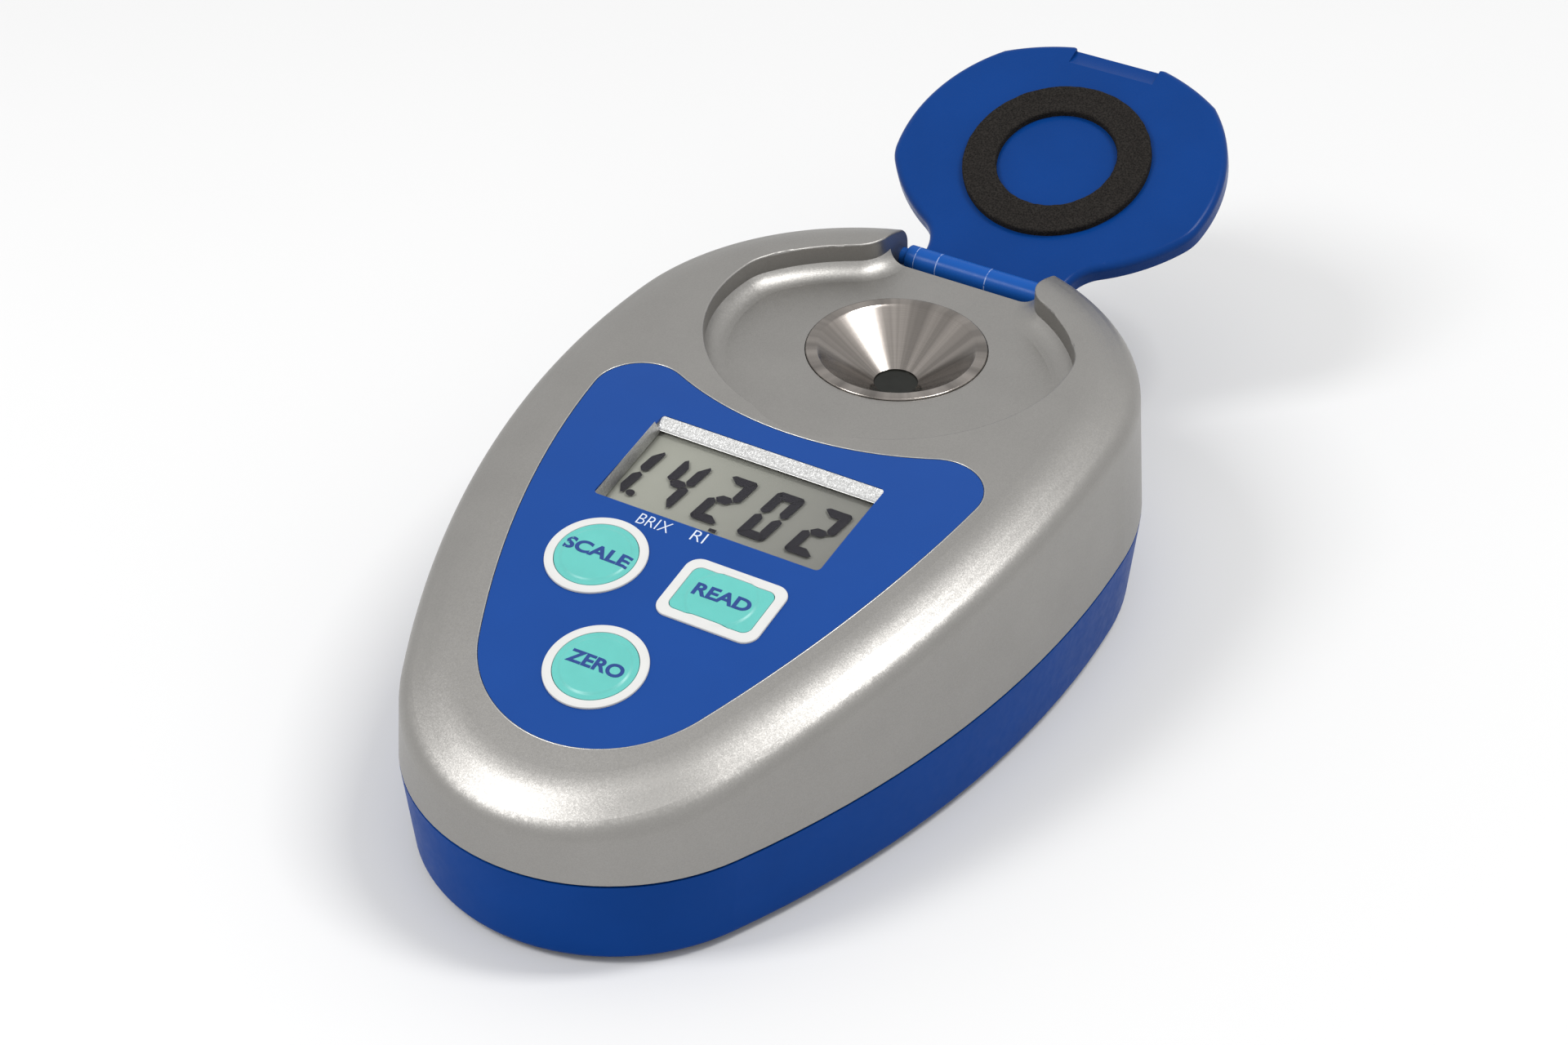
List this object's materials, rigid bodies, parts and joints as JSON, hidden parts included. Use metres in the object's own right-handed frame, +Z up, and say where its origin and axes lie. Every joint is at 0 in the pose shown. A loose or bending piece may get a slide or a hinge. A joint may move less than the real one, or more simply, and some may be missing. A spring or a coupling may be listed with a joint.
{
  "type": "digital refractometer",
  "caption": "Handheld digital refractometer with an egg-shaped case, a conical steel sample cup under a hinged lid, a display window and press keys on a sloping panel.",
  "frame": {"origin": "on the underside of the base, midway between the front and rear ends of the body; the rubber feet reach 0.8 mm below it", "axes": "+X to the right as the panel is read, +Y from the narrow front end to the hinge, +Z up"},
  "size_m": [0.09, 0.1931, 0.0488],
  "materials": {
    "silver_lacquer": "satin silver metallic lacquer with a fine sparkle",
    "blue_shell": "moulded, semi-gloss",
    "label_film": "printed label film, satin",
    "label_white": "raised print, satin",
    "key_turquoise": "embossed key cap, satin",
    "turned_steel": "turned and polished",
    "plated_steel": "bright plated",
    "black_rubber": "matt",
    "foam": "fine-pored sheet foam, matt",
    "clear_window": "clear, polished",
    "display_glass": "polarised display glass, satin",
    "reflector": "matt foil",
    "black_plastic": "moulded, matt",
    "elastomer": "layered, matt",
    "circuit_board": "solder-masked board",
    "component_body": "moulded component",
    "cell_jacket": "plain shrink jacket",
    "spring_metal": "nickel plated spring strip",
    "sapphire": "polished",
    "lamp_resin": "clear tinted",
    "lens_glass": "polished",
    "nut_brass": "turned",
    "ribbon_film": "printed flexible film",
    "probe_bead": "glazed bead",
    "plate_foil": "blank foil plate, satin"
  },
  "bodies": {
    "housing": {"base_shell": "blue_shell", "top_shell": "silver_lacquer", "shell_gasket": "black_rubber", "rubber_feet": "black_rubber", "housing_screws": "plated_steel", "rating_plate": "plate_foil", "battery_cells": "cell_jacket", "battery_contacts": "spring_metal", "keypad_overlay": "label_film", "key_borders": "label_white", "window_lens": "clear_window", "display_glass": "display_glass", "display_back": "reflector", "display_frame": "black_plastic", "contact_strips": "elastomer", "main_board": "circuit_board", "board_screws": "plated_steel", "key_switches": "component_body", "board_chips": "component_body", "sample_cup": "turned_steel", "cup_seal": "black_rubber", "cup_nut": "nut_brass", "prism": "sapphire", "optics_block": "black_plastic", "light_source": "lamp_resin", "condenser_lens": "lens_glass", "sensor_board": "circuit_board", "line_sensor": "component_body", "temperature_probe": "probe_bead", "flex_ribbon": "ribbon_film"},
    "lid": {"lid": "blue_shell", "lid_foam_ring": "foam"},
    "key_scale": {"key_scale": "key_turquoise"},
    "key_zero": {"key_zero": "key_turquoise"},
    "key_read": {"key_read": "key_turquoise"},
    "battery_door": {"battery_door": "blue_shell"}
  },
  "joints": [
    {"name": "lid_hinge", "type": "hinge", "parent": "housing", "child": "lid", "pos_m": [0, 0.0675, 0.0323], "axis": [1, 0, 0], "range_deg": [0, 159]},
    {"name": "scale_key_press", "type": "slide", "parent": "housing", "child": "key_scale", "axis": [0, 0.1521, -0.9884], "range_m": [0, 0.0004], "stiffness_N_per_m": 4000},
    {"name": "zero_key_press", "type": "slide", "parent": "housing", "child": "key_zero", "axis": [0, 0.2005, -0.9797], "range_m": [0, 0.0004], "stiffness_N_per_m": 4000},
    {"name": "read_key_press", "type": "slide", "parent": "housing", "child": "key_read", "axis": [0, 0.1523, -0.9883], "range_m": [0, 0.0004], "stiffness_N_per_m": 4000},
    {"name": "battery_door_lift", "type": "slide", "parent": "housing", "child": "battery_door", "axis": [0, 0, -1], "range_m": [0, 0.012]}
  ]
}
